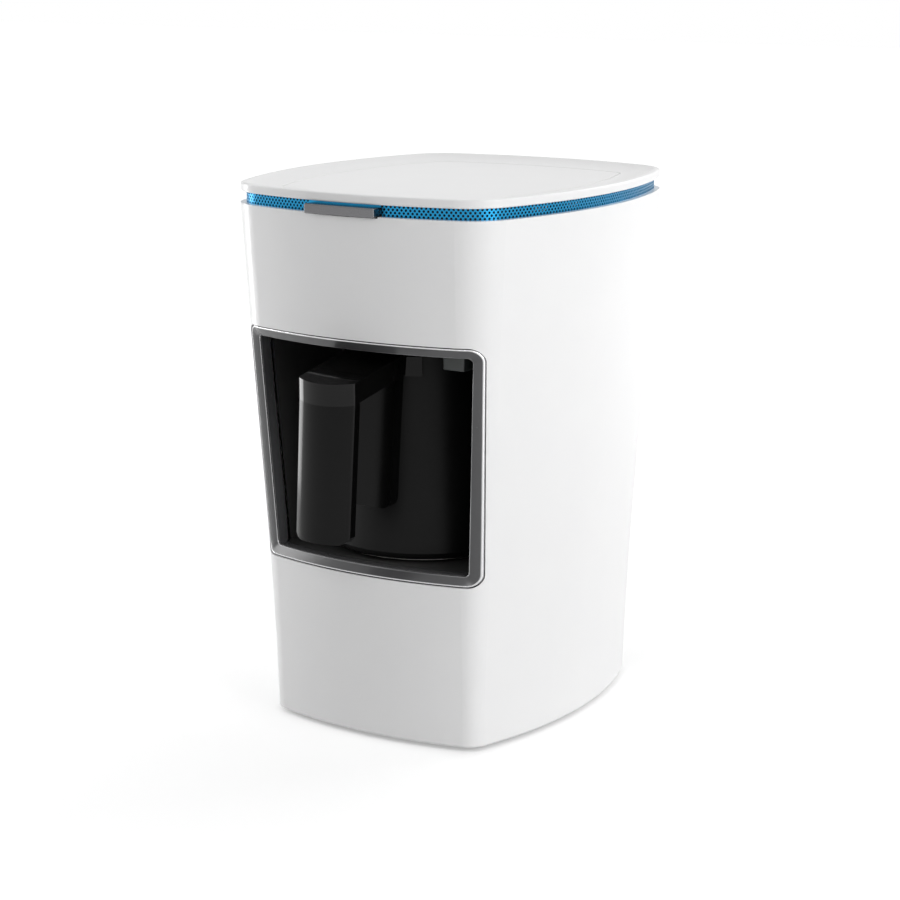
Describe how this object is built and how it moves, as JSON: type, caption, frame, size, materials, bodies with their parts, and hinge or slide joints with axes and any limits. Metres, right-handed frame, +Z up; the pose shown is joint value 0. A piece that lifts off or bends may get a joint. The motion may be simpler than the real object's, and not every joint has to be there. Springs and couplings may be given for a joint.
{
  "type": "electric turkish coffee maker",
  "caption": "Tall white casing with a niche holding a black coffee pot on a heating plate, a vent band under a dished lid and a press bar at the front.",
  "frame": {"origin": "under the middle of the whole object, handle included, on the surface that the feet stand on", "axes": "+Z up, -Y out of the front where the niche and the press bar are, +X to the right seen from the front"},
  "size_m": [0.1746, 0.2205, 0.267],
  "materials": {
    "casing_white": "high gloss",
    "liner_black": "gloss",
    "frame_dark": "dark chromed",
    "band_blue": "metallic",
    "inner_black": "matt",
    "foot_rubber": "matt",
    "seal_rubber": "matt",
    "screw_steel": "zinc plated",
    "sensor_grey": "satin",
    "pane_glass": "tinted",
    "plate_metal": "turned",
    "bracket_steel": "zinc plated",
    "ceramic_white": "matt",
    "board_green": "satin",
    "relay_blue": "satin",
    "lead_red": "satin",
    "bar_steel": "brushed",
    "pot_black": "gloss",
    "handle_black": "gloss"
  },
  "bodies": {
    "housing": {"casing": "casing_white", "cord_plate": "casing_white", "top_deck": "casing_white", "base_plate": "inner_black", "feet": "foot_rubber", "base_screws": "screw_steel", "niche_liner": "liner_black", "liner_screws": "screw_steel", "niche_frame": "frame_dark", "vent_band": "band_blue", "band_backing": "inner_black", "top_lid": "casing_white", "lid_screws": "screw_steel", "bar_guide": "inner_black", "guide_screws": "screw_steel", "start_switch": "inner_black", "sensor_housing": "sensor_grey", "sensor_pane": "pane_glass", "heating_plate": "plate_metal", "plate_seal": "seal_rubber", "heater_element": "plate_metal", "heater_bracket": "bracket_steel", "bracket_nuts": "screw_steel", "thermostat": "ceramic_white", "thermal_fuse": "ceramic_white", "temperature_probe": "plate_metal", "probe_spring": "screw_steel", "heat_shield": "bracket_steel", "control_board": "board_green", "board_screws": "screw_steel", "transformer": "inner_black", "heater_relay": "relay_blue", "capacitors": "inner_black", "buzzer": "inner_black", "terminal_block": "ceramic_white", "cord_gland": "seal_rubber", "cable_clamp": "inner_black", "lead_heater_a": "lead_red", "lead_heater_b": "lead_red", "lead_switch": "lead_red", "return_spring_left": "screw_steel", "return_spring_right": "screw_steel"},
    "press_bar": {"start_bar": "bar_steel", "bar_carrier": "inner_black", "rod_clips": "screw_steel"},
    "pot": {"pot_body": "pot_black", "pot_sole": "plate_metal", "handle_arm": "handle_black", "handle_grip": "handle_black", "handle_bracket": "handle_black", "grip_screw": "screw_steel", "bracket_rivets": "screw_steel"}
  },
  "joints": [
    {"name": "button_press", "type": "slide", "parent": "housing", "child": "press_bar", "axis": [0, 1, 0], "range_m": [0, 0.002], "stiffness_N_per_m": 300, "springref_m": -0.003, "deforming": ["return_spring_left", "return_spring_right"]},
    {"name": "pot_slide", "type": "slide", "parent": "housing", "child": "pot", "axis": [0, -1, 0], "range_m": [0, 0.15]}
  ]
}
